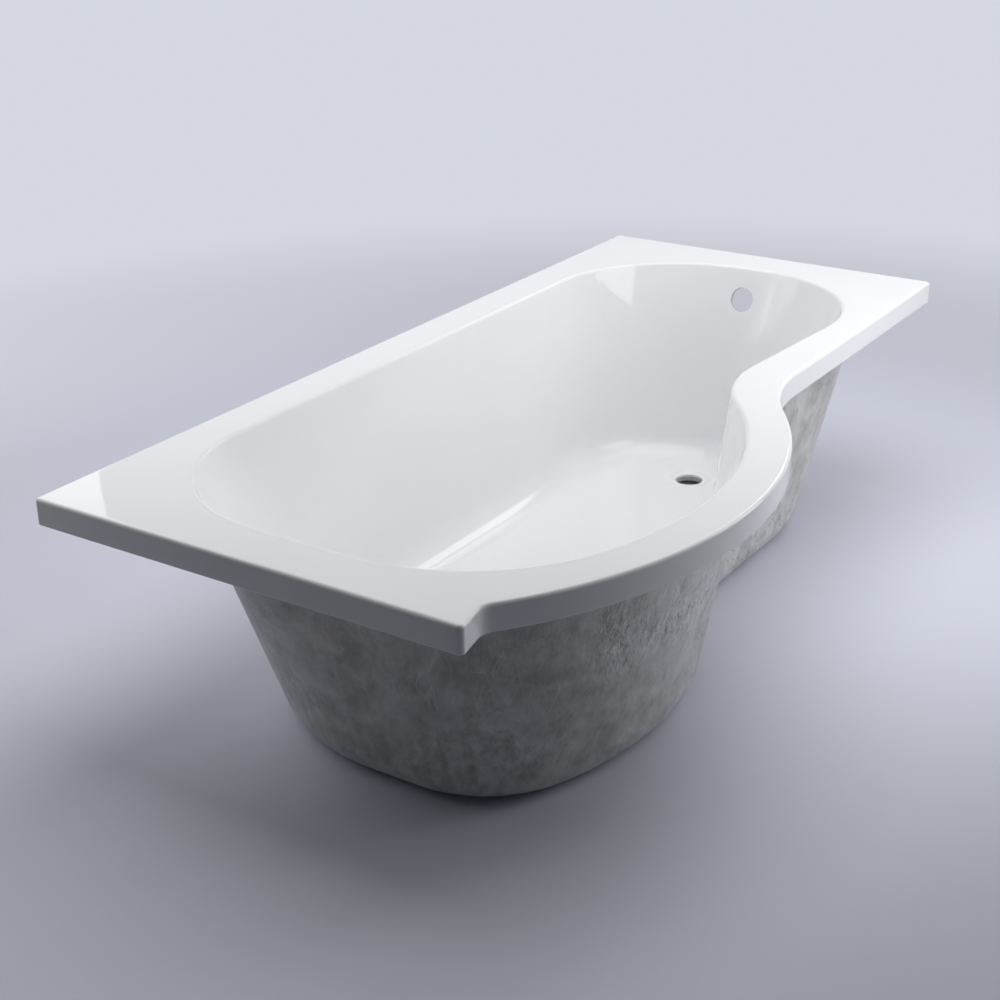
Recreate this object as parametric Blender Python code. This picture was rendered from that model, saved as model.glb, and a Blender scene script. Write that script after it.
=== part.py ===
"""Shower bath with a bowed showering end, as a bare tub without feet, waste or panels.

The pieces are a vacuum-formed acrylic shell, the two glass-fibre coats on its back, the base
board between those coats, and the timber battens that stiffen the rim from below.

The tub stands on its flat base. The origin is on the floor under the middle of its overall
length and width. X runs from the wide showering end (-X) to the tap end (+X), Y runs from
the bowed front (-Y) to the wall side (+Y), and Z is up. All lengths are in metres.
"""

import math

import bmesh
import bpy
from mathutils import Matrix, Vector

# Overall size
LENGTH = 1.700
WIDTH = 0.900
HEIGHT = 0.410

# Plan of the rim
BOW_STAND_OUT = 0.185
RETURN_STAND_OUT = 0.040
BOW_RADIUS = 0.670
BOW_CENTRE_FROM_END = 0.496
WAIST_RADIUS = 0.300
NOTCH_RADIUS = 0.030
RETURN_ANGLE = 11.7
RIM_CORNER_RADIUS = 0.008
LEAST_CORNER_RADIUS = 0.001

# Downturned lip round the rim
LIP_DEPTH = 0.042
LIP_EDGE_RADIUS = 0.006

# Width of the deck on each side of the bowl, and the plan rounds of the bowl's mouth. The
# corners are shares of the bowl's width at their end.
WALL_DECK = 0.080
NEAR_DECK = 0.092
TAP_DECK = 0.100
BOW_DECK = 0.070
WAIST_DECK = 0.083
MOUTH_FLARE = 4.5
NEAR_WALL_CORNER_SHARE = 0.3467
NEAR_FRONT_CORNER_SHARE = 0.4000
TAP_WALL_CORNER_SHARE = 0.4891
TAP_FRONT_CORNER_SHARE = 0.4529
BODY_TAP_FRONT_CORNER_SHARE = 0.3351
MOUTH_WAIST_RADIUS = 0.250

# How far each side of the bowl slopes in down to its floor, and the plan rounds there
WALL_SLOPE = 0.049
NEAR_SLOPE = 0.083
TAP_SLOPE = 0.115
BOW_SLOPE = 0.071
WAIST_SLOPE = 0.013
FLOOR_FLARE = 0.0
NEAR_WALL_FLOOR_SHARE = 0.5317
NEAR_FRONT_FLOOR_SHARE = 0.3016
TAP_WALL_FLOOR_SHARE = 0.4592
TAP_FRONT_FLOOR_SHARE = 0.5306
FLOOR_WAIST_RADIUS = 0.300

# Section of the bowl: fall of the floor along the tub, and rounds
FLOOR_FALL = 0.006
BOWL_EDGE_RADIUS = 0.007
FLOOR_ROUND = 0.065
BODY_ROUND = 0.046

# Waste hole in its shallow dish, and overflow hole in the tap-end wall, on one line that lies
# this share of the mouth's width from its wall side
HOLES_SHARE = 0.5072
WASTE_FROM_TAP_END = 0.330
WASTE_RADIUS = 0.027
DISH_RADIUS = 0.046
DISH_FLOOR_RADIUS = 0.034
DISH_DEPTH = 0.003
OVERFLOW_RADIUS = 0.025
OVERFLOW_DROP = 0.062

# Layers of the tub wall, from the inside of the bowl outwards
ACRYLIC = 0.005
BOND_GAP = 0.0003
INNER_COAT = 0.002
OUTER_COAT = 0.003

# Base board, the coat below it, and the recess round the waste
BASE_COAT = 0.0041
BOARD = 0.012
BOARD_MARGIN = 0.004
BOARD_HOLE_RADIUS = 0.052
RECESS_RADIUS = 0.046
RECESS_DEPTH = 0.009

# Timber battens under the deck
BATTEN_WIDTH = 0.045
BATTEN_CLEARANCE = 0.0033
BATTEN_DEPTH = 0.018
BATTEN_EDGE = 0.0015
BATTEN_END_GAP = 0.006

# A cutter runs this far past what it cuts
OVERRUN = 0.030

# Steps along each curved stretch of the outline, down the section, and round the holes
CORNER_STEPS = 10
RIM_CORNER_STEPS = 4
BOW_STEPS = 18
BOW_BATTEN_STEPS = 16
WAIST_STEPS = 8
EDGE_STEPS = 3
ROUND_STEPS = 6
HOLE_STEPS = 32
SHADE_ANGLE = 35.0

# Places that follow from the sizes above
NEAR_X = -LENGTH / 2
TAP_X = LENGTH / 2
WALL_Y = WIDTH / 2
NARROW_Y = BOW_STAND_OUT - WIDTH / 2
BOW_CENTRE = Vector((NEAR_X + BOW_CENTRE_FROM_END, BOW_RADIUS - WIDTH / 2))
RETURN_CORNER = Vector((NEAR_X, NARROW_Y - RETURN_STAND_OUT))

# How far each surface lies behind the visible face of the shell
SHELL_BACK = ACRYLIC
COAT_FACE = SHELL_BACK + BOND_GAP
COAT_BACK = COAT_FACE + INNER_COAT
BODY_FACE = COAT_BACK + BOND_GAP
BODY_BACK = BODY_FACE + OUTER_COAT
BATTEN_TOP = HEIGHT - BODY_FACE

# Levels of the board's pocket, and the depth of the bowl above it at the tap end
BOARD_UNDERSIDE = BASE_COAT + BOND_GAP
BOARD_TOP = BOARD_UNDERSIDE + BOARD + BOND_GAP
BOWL_DEPTH = HEIGHT - BOARD_TOP - BODY_FACE
TAP_WALL_SLOPE = math.atan2(TAP_SLOPE, BOWL_DEPTH)

# Width of the bowl at each end, and the plan rounds of its corners
NEAR_MOUTH_WIDTH = WIDTH - WALL_DECK - BOW_DECK
TAP_MOUTH_WIDTH = WALL_Y - NARROW_Y - WALL_DECK - WAIST_DECK
NEAR_FLOOR_WIDTH = NEAR_MOUTH_WIDTH - WALL_SLOPE - BOW_SLOPE
TAP_FLOOR_WIDTH = TAP_MOUTH_WIDTH - WALL_SLOPE - WAIST_SLOPE
NEAR_WALL_CORNER = NEAR_MOUTH_WIDTH * NEAR_WALL_CORNER_SHARE
NEAR_FRONT_CORNER = NEAR_MOUTH_WIDTH * NEAR_FRONT_CORNER_SHARE
TAP_WALL_CORNER = TAP_MOUTH_WIDTH * TAP_WALL_CORNER_SHARE
TAP_FRONT_CORNER = TAP_MOUTH_WIDTH * TAP_FRONT_CORNER_SHARE
BODY_TAP_FRONT_CORNER = TAP_MOUTH_WIDTH * BODY_TAP_FRONT_CORNER_SHARE
NEAR_WALL_FLOOR_CORNER = NEAR_FLOOR_WIDTH * NEAR_WALL_FLOOR_SHARE
NEAR_FRONT_FLOOR_CORNER = NEAR_FLOOR_WIDTH * NEAR_FRONT_FLOOR_SHARE
TAP_WALL_FLOOR_CORNER = TAP_FLOOR_WIDTH * TAP_WALL_FLOOR_SHARE
TAP_FRONT_FLOOR_CORNER = TAP_FLOOR_WIDTH * TAP_FRONT_FLOOR_SHARE

# Places of the waste and overflow holes
HOLES_Y = WALL_Y - WALL_DECK - TAP_MOUTH_WIDTH * HOLES_SHARE
WASTE_CENTRE = Vector((TAP_X - WASTE_FROM_TAP_END, HOLES_Y))


def clear_scene():
    """Remove every object that the start-up scene holds."""
    for obj in list(bpy.data.objects):
        bpy.data.objects.remove(obj, do_unlink=True)


def material(name, colour, roughness, coat=0.0):
    """A plain Principled material."""
    made = bpy.data.materials.new(name)
    made.use_nodes = True
    shader = made.node_tree.nodes["Principled BSDF"]
    shader.inputs["Base Color"].default_value = (*colour, 1.0)
    shader.inputs["Roughness"].default_value = roughness
    shader.inputs["Coat Weight"].default_value = coat
    made.diffuse_color = (*colour, 1.0)
    return made


def direction(degrees):
    """Unit vector at an angle from the +X axis."""
    angle = math.radians(degrees)
    return Vector((math.cos(angle), math.sin(angle)))


def bearing(vector):
    """Angle of a vector from the +X axis, in degrees from 0 to 360."""
    return math.degrees(math.atan2(vector.y, vector.x)) % 360


def arc(centre, radius, start, end, steps):
    """Points along an arc between two bearings, both ends included."""
    return [centre + direction(start + (end - start) * step / steps) * radius for step in range(steps + 1)]


def hollow_centre(start, heading, radius, bow, far):
    """Centre of the hollow round that joins a straight edge to the bow.

    The edge runs through the start point at the given heading, and crosses the bow twice.
    """
    along = direction(heading)
    foot = start - direction(heading + 90) * radius - BOW_CENTRE
    half = foot.dot(along)
    reach = math.sqrt(half ** 2 - foot.length_squared + (bow + radius) ** 2)
    travel = reach - half if far else -reach - half
    return BOW_CENTRE + foot + along * travel


def notch_centre():
    """Centre of the small hollow round between the return at the near end and the bow."""
    return hollow_centre(RETURN_CORNER, RETURN_ANGLE, NOTCH_RADIUS, BOW_RADIUS, False)


def waist_centre():
    """Centre of the hollow round between the bow and the straight front of the rim."""
    return hollow_centre(Vector((0, NARROW_Y)), 0, WAIST_RADIUS, BOW_RADIUS, True)


def rim_bow(inset):
    """Points along the bow of the rim, from the notch to the waist."""
    start = bearing(notch_centre() - BOW_CENTRE)
    end = bearing(waist_centre() - BOW_CENTRE)
    return arc(BOW_CENTRE, BOW_RADIUS - inset, start, end, BOW_STEPS)


def rim_outline(inset):
    """Points round the edge of the rim, moved inwards by the inset, seen from above."""
    corner = max(RIM_CORNER_RADIUS - inset, LEAST_CORNER_RADIUS)
    near = NEAR_X + inset + corner
    tap = TAP_X - inset - corner
    wall = WALL_Y - inset - corner
    front = NARROW_Y + inset + corner
    slope = math.radians(RETURN_ANGLE)
    lean = math.sin(slope) * (near - RETURN_CORNER.x)
    return_y = RETURN_CORNER.y + (inset + corner + lean) / math.cos(slope)
    bow_start = bearing(notch_centre() - BOW_CENTRE)
    bow_end = bearing(waist_centre() - BOW_CENTRE)
    notch = (90 + RETURN_ANGLE, bow_start - 180, CORNER_STEPS - RIM_CORNER_STEPS - 1)
    points = arc(Vector((tap, wall)), corner, 0, 90, CORNER_STEPS)
    points += arc(Vector((near, wall)), corner, 90, 180, CORNER_STEPS)
    points += arc(Vector((near, return_y)), corner, 180, 270 + RETURN_ANGLE, RIM_CORNER_STEPS)
    points += arc(notch_centre(), NOTCH_RADIUS + inset, *notch)
    points += rim_bow(inset)[1:]
    points += arc(waist_centre(), WAIST_RADIUS + inset, bow_end - 180, 90, WAIST_STEPS)[1:]
    points += arc(Vector((tap, front)), corner, 270, 360, CORNER_STEPS)
    return points


def round_bend(*bend):
    """Points along an arc that curves round the bowl, each with the way into the bowl."""
    return [(point, (bend[0] - point).normalized()) for point in arc(*bend)]


def hollow_bend(*bend):
    """Points along an arc that curves away from the bowl, each with the way into the bowl."""
    return [(point, (point - bend[0]).normalized()) for point in arc(*bend)]


def bowl_outline(sides, rounds, flare):
    """Points round the bowl at one level, each with the way into the bowl.

    The sides are the places of the near end, tap end, wall side and waist, and the radius of
    the bow. The rounds are the radii of the four corners and of the hollow at the waist. The
    flare is the angle at which the straight front runs outwards from the waist.
    """
    near, tap, wall, front, bow = sides
    near_wall, near_front, tap_wall, tap_front, hollow = rounds
    along = near + near_front - BOW_CENTRE.x
    drop = math.sqrt((bow - near_front) ** 2 - along ** 2)
    near_front_centre = BOW_CENTRE + Vector((along, -drop))
    narrow = Vector((waist_centre().x, front))
    waist = hollow_centre(narrow, -flare, hollow, bow, True)
    lean = math.radians(flare)
    tap_x = tap - tap_front
    tap_y = front + (tap_front - math.sin(lean) * (tap_x - narrow.x)) / math.cos(lean)
    bow_start = bearing(near_front_centre - BOW_CENTRE)
    bow_end = bearing(waist - BOW_CENTRE)
    wall_corner = Vector((tap - tap_wall, wall - tap_wall))
    points = round_bend(wall_corner, tap_wall, 0, 90, CORNER_STEPS)
    wall_corner = Vector((near + near_wall, wall - near_wall))
    points += round_bend(wall_corner, near_wall, 90, 180, CORNER_STEPS)
    points += round_bend(near_front_centre, near_front, 180, bow_start, CORNER_STEPS)
    points += round_bend(BOW_CENTRE, bow, bow_start, bow_end, BOW_STEPS)[1:]
    points += hollow_bend(waist, hollow, bow_end - 180, 90 - flare, WAIST_STEPS)[1:]
    points += round_bend(Vector((tap_x, tap_y)), tap_front, 270 - flare, 360, CORNER_STEPS)
    return points


def mouth_outline(tap_front):
    """Outline of the bowl where its walls and the deck would meet sharp."""
    sides = (NEAR_X + NEAR_DECK, TAP_X - TAP_DECK, WALL_Y - WALL_DECK,
             NARROW_Y + WAIST_DECK, BOW_RADIUS - BOW_DECK)
    rounds = (NEAR_WALL_CORNER, NEAR_FRONT_CORNER, TAP_WALL_CORNER, tap_front, MOUTH_WAIST_RADIUS)
    return bowl_outline(sides, rounds, MOUTH_FLARE)


def floor_outline():
    """Outline of the bowl where its walls and the floor would meet sharp."""
    sides = (NEAR_X + NEAR_DECK + NEAR_SLOPE, TAP_X - TAP_DECK - TAP_SLOPE,
             WALL_Y - WALL_DECK - WALL_SLOPE, NARROW_Y + WAIST_DECK + WAIST_SLOPE,
             BOW_RADIUS - BOW_DECK - BOW_SLOPE)
    rounds = (NEAR_WALL_FLOOR_CORNER, NEAR_FRONT_FLOOR_CORNER, TAP_WALL_FLOOR_CORNER,
              TAP_FRONT_FLOOR_CORNER, FLOOR_WAIST_RADIUS)
    return bowl_outline(sides, rounds, FLOOR_FLARE)


def bowl_stations(tap_front):
    """The course of the bowl's wall at each point of its outline.

    Each station holds the point on the mouth, the way square into the bowl, how far the wall
    runs along the outline on its way down, and its slope.
    """
    stations = []
    for (mouth, mouth_inward), (foot, foot_inward) in zip(mouth_outline(tap_front), floor_outline()):
        inward = (mouth_inward + foot_inward).normalized()
        run = (foot - mouth).dot(inward)
        drift = foot - mouth - inward * run
        stations.append((mouth, inward, drift, math.atan2(run, BOWL_DEPTH)))
    return stations


def section(slope, offset, round_radius, bottom):
    """Insets and heights down the bowl for a surface that lies behind the visible one.

    The list runs round the edge of the deck, down the sloped wall and round to the floor.
    """
    edge = max(BOWL_EDGE_RADIUS - offset, LEAST_CORNER_RADIUS)
    top = HEIGHT - offset
    corner = -offset * (1 - math.sin(slope)) / math.cos(slope)
    turn = math.pi / 2 - slope
    tangent = edge * math.tan(turn / 2)
    points = []
    for step in range(EDGE_STEPS + 1):
        angle = turn * step / EDGE_STEPS
        points.append((corner - tangent + edge * math.sin(angle), top - edge + edge * math.cos(angle)))
    rise = top - bottom - round_radius
    centre = corner + (round_radius + rise * math.sin(slope)) / math.cos(slope)
    for step in range(ROUND_STEPS + 1):
        angle = slope + turn * step / ROUND_STEPS
        inset = centre - round_radius * math.cos(angle)
        points.append((inset, bottom + round_radius - round_radius * math.sin(angle)))
    return points


def fall(x, height, bottom, top):
    """How much the sloping floor lifts a point that lies this low in the bowl."""
    share = (top - height) / (top - bottom)
    return FLOOR_FALL * (TAP_X - x) / LENGTH * share


def bowl_rings(offset, round_radius, bottom, sloping, tap_front=TAP_FRONT_CORNER):
    """Rings of points down the bowl, from the edge of the deck to the edge of the floor."""
    top = HEIGHT - offset
    columns = []
    for mouth, inward, drift, slope in bowl_stations(tap_front):
        profile = section(slope, offset, round_radius, bottom)
        column = []
        for level, (inset, height) in enumerate(profile):
            wall_end = EDGE_STEPS + 1 if level > EDGE_STEPS else EDGE_STEPS
            share = (HEIGHT - profile[wall_end][1]) / BOWL_DEPTH
            place = mouth + inward * inset + drift * share
            lift = fall(place.x, height, bottom, top) if sloping else 0
            column.append(Vector((place.x, place.y, height + lift)))
        columns.append(column)
    return [list(ring) for ring in zip(*columns)]


def rim_ring(inset, height):
    """Ring of points round the rim at one height."""
    return [Vector((point.x, point.y, height)) for point in rim_outline(inset)]


def waste_ring(radius, height, sloping):
    """Circle of points round the waste, level or in the plane of the sloping floor."""
    ring = []
    for step in range(HOLE_STEPS):
        place = WASTE_CENTRE + direction(360 * step / HOLE_STEPS) * radius
        lift = FLOOR_FALL * (TAP_X - place.x) / LENGTH if sloping else 0
        ring.append(Vector((place.x, place.y, height + lift)))
    return ring


class Skin:
    """A closed body made of rings of vertices, bridged or filled to each other."""

    def __init__(self):
        self.mesh = bmesh.new()

    def ring(self, points):
        """Add a closed ring of vertices."""
        return [self.mesh.verts.new(point) for point in points]

    def rings(self, loops):
        """Add several rings."""
        return [self.ring(points) for points in loops]

    def bridge(self, first, second):
        """Join two rings of as many vertices by a band of triangles."""
        count = len(first)
        for index in range(count):
            after = (index + 1) % count
            self.mesh.faces.new((first[index], first[after], second[after]))
            self.mesh.faces.new((first[index], second[after], second[index]))

    def chain(self, loops):
        """Bridge each ring to the next."""
        for first, second in zip(loops, loops[1:]):
            self.bridge(first, second)

    def plate(self, outer, inner):
        """Fill the flat area between a ring and the ring of a hole in it."""
        edges = []
        for loop in (outer, inner):
            for index, vertex in enumerate(loop):
                after = loop[(index + 1) % len(loop)]
                edge = self.mesh.edges.get((vertex, after))
                edges.append(edge or self.mesh.edges.new((vertex, after)))
        bmesh.ops.triangle_fill(self.mesh, edges=edges, use_beauty=True)

    def finish(self, name, finish):
        """Make the object, with its faces pointing out."""
        bmesh.ops.recalc_face_normals(self.mesh, faces=self.mesh.faces)
        data = bpy.data.meshes.new(name)
        self.mesh.to_mesh(data)
        self.mesh.free()
        data.shade_smooth()
        data.set_sharp_from_angle(angle=math.radians(SHADE_ANGLE))
        data.materials.append(finish)
        obj = bpy.data.objects.new(name, data)
        bpy.context.scene.collection.objects.link(obj)
        return obj


def overflow_cutter():
    """Cylinder square to the tap-end wall, where the overflow hole goes through it."""
    mesh = bmesh.new()
    length = BODY_BACK + OVERRUN * 2
    bmesh.ops.create_cone(mesh, segments=HOLE_STEPS, radius1=OVERFLOW_RADIUS,
                          radius2=OVERFLOW_RADIUS, depth=length, cap_ends=True)
    data = bpy.data.meshes.new("overflow_cutter")
    mesh.to_mesh(data)
    mesh.free()
    cutter = bpy.data.objects.new("overflow_cutter", data)
    bpy.context.scene.collection.objects.link(cutter)
    wall_x = TAP_X - TAP_DECK - math.tan(TAP_WALL_SLOPE) * OVERFLOW_DROP
    cutter.location = (wall_x, HOLES_Y, HEIGHT - OVERFLOW_DROP)
    cutter.rotation_euler = (0, math.pi / 2 + TAP_WALL_SLOPE, 0)
    cutter.display_type = "WIRE"
    cutter.hide_render = True
    return cutter


def cut_overflow(obj, cutter):
    """Cut the overflow hole through one layer of the tub."""
    boolean = obj.modifiers.new("overflow", "BOOLEAN")
    boolean.operation = "DIFFERENCE"
    boolean.object = cutter


def acrylic_shell(finish):
    """The white shell: lip, deck, bowl and waste dish, formed from one even sheet."""
    skin = Skin()
    lip_foot = HEIGHT - LIP_DEPTH
    face = [rim_ring(0, lip_foot)]
    for step in range(EDGE_STEPS + 1):
        angle = math.pi / 2 * step / EDGE_STEPS
        inset = LIP_EDGE_RADIUS * (1 - math.cos(angle))
        face.append(rim_ring(inset, HEIGHT - LIP_EDGE_RADIUS * (1 - math.sin(angle))))
    floor = HEIGHT - BOWL_DEPTH
    face = skin.rings(face + bowl_rings(0, FLOOR_ROUND, floor, True))
    back_floor = floor - SHELL_BACK
    back = [rim_ring(ACRYLIC, lip_foot), rim_ring(ACRYLIC, HEIGHT - ACRYLIC)]
    back = skin.rings(back + bowl_rings(SHELL_BACK, FLOOR_ROUND + SHELL_BACK, back_floor, True))
    face_waste = skin.rings(dish_rings(floor, True))
    back_waste = skin.rings(dish_rings(back_floor, True))
    skin.chain(face)
    skin.chain(back)
    skin.chain(face_waste)
    skin.chain(back_waste)
    skin.plate(face[-1], face_waste[0])
    skin.plate(back[-1], back_waste[0])
    skin.bridge(face[0], back[0])
    skin.bridge(face_waste[-1], back_waste[-1])
    return skin.finish("acrylic_shell", finish)


def dish_rings(floor, sloping):
    """Rings of the shallow dish, from the floor in to the edge of the waste hole."""
    return [waste_ring(DISH_RADIUS, floor, sloping),
            waste_ring(DISH_FLOOR_RADIUS, floor - DISH_DEPTH, sloping),
            waste_ring(WASTE_RADIUS, floor - DISH_DEPTH, sloping)]


def inner_coat(finish):
    """First glass-fibre coat: under the deck, down the bowl, and level under the floor."""
    skin = Skin()
    face_floor = HEIGHT - BOWL_DEPTH - COAT_FACE
    back_floor = HEIGHT - BOWL_DEPTH - COAT_BACK
    face = [rim_ring(COAT_FACE, HEIGHT - COAT_FACE)]
    face = skin.rings(face + bowl_rings(COAT_FACE, FLOOR_ROUND + COAT_FACE, face_floor, True))
    back = [rim_ring(COAT_FACE, HEIGHT - COAT_BACK)]
    back = skin.rings(back + bowl_rings(COAT_BACK, FLOOR_ROUND + COAT_BACK, back_floor, False))
    face_waste = skin.rings(dish_rings(face_floor, True))
    back_waste = skin.rings(dish_rings(back_floor, False))
    skin.chain(face)
    skin.chain(back)
    skin.chain(face_waste)
    skin.chain(back_waste)
    skin.plate(face[-1], face_waste[0])
    skin.plate(back[-1], back_waste[0])
    skin.bridge(face[0], back[0])
    skin.bridge(face_waste[-1], back_waste[-1])
    return skin.finish("glass_fibre_inner_coat", finish)


def board_ring(height, clearance):
    """Outline of the base board, set in from the edge of the flat floor."""
    floor_edge = bowl_rings(BODY_FACE, FLOOR_ROUND + BODY_FACE, BOARD_TOP, False)[-1]
    ring = []
    for edge, station in zip(floor_edge, bowl_stations(TAP_FRONT_CORNER)):
        place = Vector((edge.x, edge.y)) + station[1] * (BOARD_MARGIN - clearance)
        ring.append(Vector((place.x, place.y, height)))
    return ring


def outer_coat(finish):
    """Second coat: the visible grey body, with the pocket for the base board in its floor."""
    skin = Skin()
    face = bowl_rings(BODY_FACE, FLOOR_ROUND + BODY_FACE, BOARD_TOP, False)
    face += [board_ring(BOARD_TOP, BOND_GAP), board_ring(BASE_COAT, BOND_GAP)]
    face = skin.rings(face)
    hub_radius = BOARD_HOLE_RADIUS - BOND_GAP
    hub = [waste_ring(hub_radius, BASE_COAT, False), waste_ring(hub_radius, BOARD_TOP, False)]
    hub = skin.rings(hub + dish_rings(BOARD_TOP, False))
    body = bowl_rings(BODY_BACK, BODY_ROUND, 0, False, BODY_TAP_FRONT_CORNER)
    back = skin.rings(body[EDGE_STEPS:])
    recess = [waste_ring(RECESS_RADIUS, 0, False), waste_ring(RECESS_RADIUS, RECESS_DEPTH, False)]
    recess = skin.rings(recess + [waste_ring(WASTE_RADIUS, RECESS_DEPTH, False)])
    skin.chain(face)
    skin.plate(face[-1], hub[0])
    skin.chain(hub)
    skin.chain(back)
    skin.plate(back[-1], recess[0])
    skin.chain(recess)
    skin.bridge(hub[-1], recess[-1])
    skin.bridge(face[0], back[0])
    return skin.finish("glass_fibre_outer_coat", finish)


def base_board(finish):
    """Stiffening board under the floor, cut out round the waste."""
    skin = Skin()
    edge = skin.rings([board_ring(BOARD_TOP - BOND_GAP, 0), board_ring(BOARD_UNDERSIDE, 0)])
    hole = [waste_ring(BOARD_HOLE_RADIUS, BOARD_TOP - BOND_GAP, False)]
    hole = skin.rings(hole + [waste_ring(BOARD_HOLE_RADIUS, BOARD_UNDERSIDE, False)])
    skin.plate(edge[0], hole[0])
    skin.plate(edge[1], hole[1])
    skin.chain(edge)
    skin.chain(hole)
    return skin.finish("base_board", finish)


def bevel_edges(obj, width):
    """Break the sharp edges of a sawn piece."""
    bevel = obj.modifiers.new("broken_edges", "BEVEL")
    bevel.width = width
    bevel.segments = 1
    bevel.limit_method = "ANGLE"


def front_batten_width():
    """Width of the front batten: what the flaring bowl leaves free behind the lip."""
    run = TAP_X - TAP_DECK - BODY_TAP_FRONT_CORNER - waist_centre().x
    deck = WAIST_DECK - math.tan(math.radians(MOUTH_FLARE)) * run
    return deck - BODY_BACK - BATTEN_CLEARANCE - ACRYLIC - BOND_GAP


def straight_batten(name, low, high, finish):
    """A straight batten that fills the box between two plan corners, under the deck."""
    mesh = bmesh.new()
    bmesh.ops.create_cube(mesh, size=1)
    size = Vector((high[0] - low[0], high[1] - low[1], BATTEN_DEPTH))
    middle = Vector(((low[0] + high[0]) / 2, (low[1] + high[1]) / 2, BATTEN_TOP - BATTEN_DEPTH / 2))
    bmesh.ops.transform(mesh, matrix=Matrix.Diagonal(size).to_4x4(), verts=mesh.verts)
    data = bpy.data.meshes.new(name)
    mesh.to_mesh(data)
    mesh.free()
    data.materials.append(finish)
    obj = bpy.data.objects.new(name, data)
    obj.location = middle
    bpy.context.scene.collection.objects.link(obj)
    bevel_edges(obj, BATTEN_EDGE)
    return obj


def bow_batten(finish):
    """Curved batten cut from sheet, which follows the lip of the bow."""
    seat = ACRYLIC + BOND_GAP
    first = (BOW_STEPS - BOW_BATTEN_STEPS) // 2
    last = first + BOW_BATTEN_STEPS
    outline = rim_bow(seat)[first:last + 1]
    outline += rim_bow(seat + BATTEN_WIDTH)[last:first - 1:-1]
    mesh = bmesh.new()
    foot = [mesh.verts.new((point.x, point.y, BATTEN_TOP - BATTEN_DEPTH)) for point in outline]
    face = mesh.faces.new(foot)
    grown = bmesh.ops.extrude_face_region(mesh, geom=[face])
    moved = [item for item in grown["geom"] if isinstance(item, bmesh.types.BMVert)]
    bmesh.ops.translate(mesh, verts=moved, vec=(0, 0, BATTEN_DEPTH))
    bmesh.ops.recalc_face_normals(mesh, faces=mesh.faces)
    data = bpy.data.meshes.new("rim_batten_bow")
    mesh.to_mesh(data)
    mesh.free()
    data.materials.append(finish)
    obj = bpy.data.objects.new("rim_batten_bow", data)
    bpy.context.scene.collection.objects.link(obj)
    bevel_edges(obj, BATTEN_EDGE)
    return obj


def rim_battens(finish):
    """Battens along the wall side, both ends, the straight front and the bow."""
    seat = ACRYLIC + BOND_GAP
    near = NEAR_X + seat
    tap = TAP_X - seat
    wall = WALL_Y - seat
    front = NARROW_Y + seat
    wall_inner = wall - BATTEN_WIDTH
    front_inner = front + front_batten_width()
    return_rise = math.tan(math.radians(RETURN_ANGLE)) * BATTEN_WIDTH
    near_foot = RETURN_CORNER.y + seat + return_rise + BATTEN_END_GAP
    straight_batten("rim_batten_wall", (near, wall_inner), (tap, wall), finish)
    straight_batten("rim_batten_near_end", (near, near_foot),
                    (near + BATTEN_WIDTH, wall_inner - BOND_GAP), finish)
    straight_batten("rim_batten_tap_end", (tap - BATTEN_WIDTH, front_inner + BOND_GAP),
                    (tap, wall_inner - BOND_GAP), finish)
    straight_batten("rim_batten_front", (waist_centre().x, front), (tap, front_inner), finish)
    bow_batten(finish)


def main():
    """Build the whole tub."""
    clear_scene()
    white = material("white_acrylic", (0.84, 0.84, 0.87), 0.08, 1.0)
    grey = material("glass_fibre_resin", (0.22, 0.22, 0.23), 0.45)
    board = material("base_board_wood", (0.42, 0.30, 0.18), 0.75)
    timber = material("batten_timber", (0.55, 0.40, 0.23), 0.70)
    cutter = overflow_cutter()
    for layer in (acrylic_shell(white), inner_coat(grey), outer_coat(grey)):
        cut_overflow(layer, cutter)
    base_board(board)
    rim_battens(timber)


main()
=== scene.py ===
"""Looks of the moulded shower bath: the fine pieces, their finishes, the studio and the camera.

The pieces stand in the frame of the CAD model: the origin is on the floor under the middle of
the tub, X runs to the tap end, Y to the wall side, and Z up. All lengths are in metres.
"""

import math

import bmesh
import bpy
from mathutils import Matrix, Vector


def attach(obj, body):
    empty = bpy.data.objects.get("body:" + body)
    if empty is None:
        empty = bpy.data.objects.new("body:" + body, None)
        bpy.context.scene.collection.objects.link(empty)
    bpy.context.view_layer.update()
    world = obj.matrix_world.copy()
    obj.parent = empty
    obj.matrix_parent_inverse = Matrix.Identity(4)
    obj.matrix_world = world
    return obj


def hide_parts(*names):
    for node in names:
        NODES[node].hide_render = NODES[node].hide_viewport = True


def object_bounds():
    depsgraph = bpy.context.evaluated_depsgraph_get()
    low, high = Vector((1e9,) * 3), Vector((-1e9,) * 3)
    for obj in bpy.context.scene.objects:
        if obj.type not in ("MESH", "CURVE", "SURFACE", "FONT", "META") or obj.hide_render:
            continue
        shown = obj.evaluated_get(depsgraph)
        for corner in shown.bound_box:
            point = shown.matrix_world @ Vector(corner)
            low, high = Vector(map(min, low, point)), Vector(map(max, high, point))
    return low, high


bl_info = {
    "name": "Shower bath",
    "version": (1, 0, 0),
    "blender": (4, 5, 0),
    "location": "View3D > Sidebar > Shower bath",
    "description": "Builds the moulded tub, its glass-fibre backing, battens and studio",
    "category": "Object",
}

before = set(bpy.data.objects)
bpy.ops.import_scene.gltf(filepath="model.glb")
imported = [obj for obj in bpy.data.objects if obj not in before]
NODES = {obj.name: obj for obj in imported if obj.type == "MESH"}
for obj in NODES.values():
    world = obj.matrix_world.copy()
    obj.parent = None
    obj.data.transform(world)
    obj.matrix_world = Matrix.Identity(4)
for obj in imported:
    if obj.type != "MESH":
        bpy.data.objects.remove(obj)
CAD_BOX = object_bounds()

# Overall sizes; the flat facets of the bow end a little short of the true width
LENGTH = round(CAD_BOX[1].x - CAD_BOX[0].x, 4)
WIDTH = 0.900
HEIGHT = round(CAD_BOX[1].z, 4)

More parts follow.
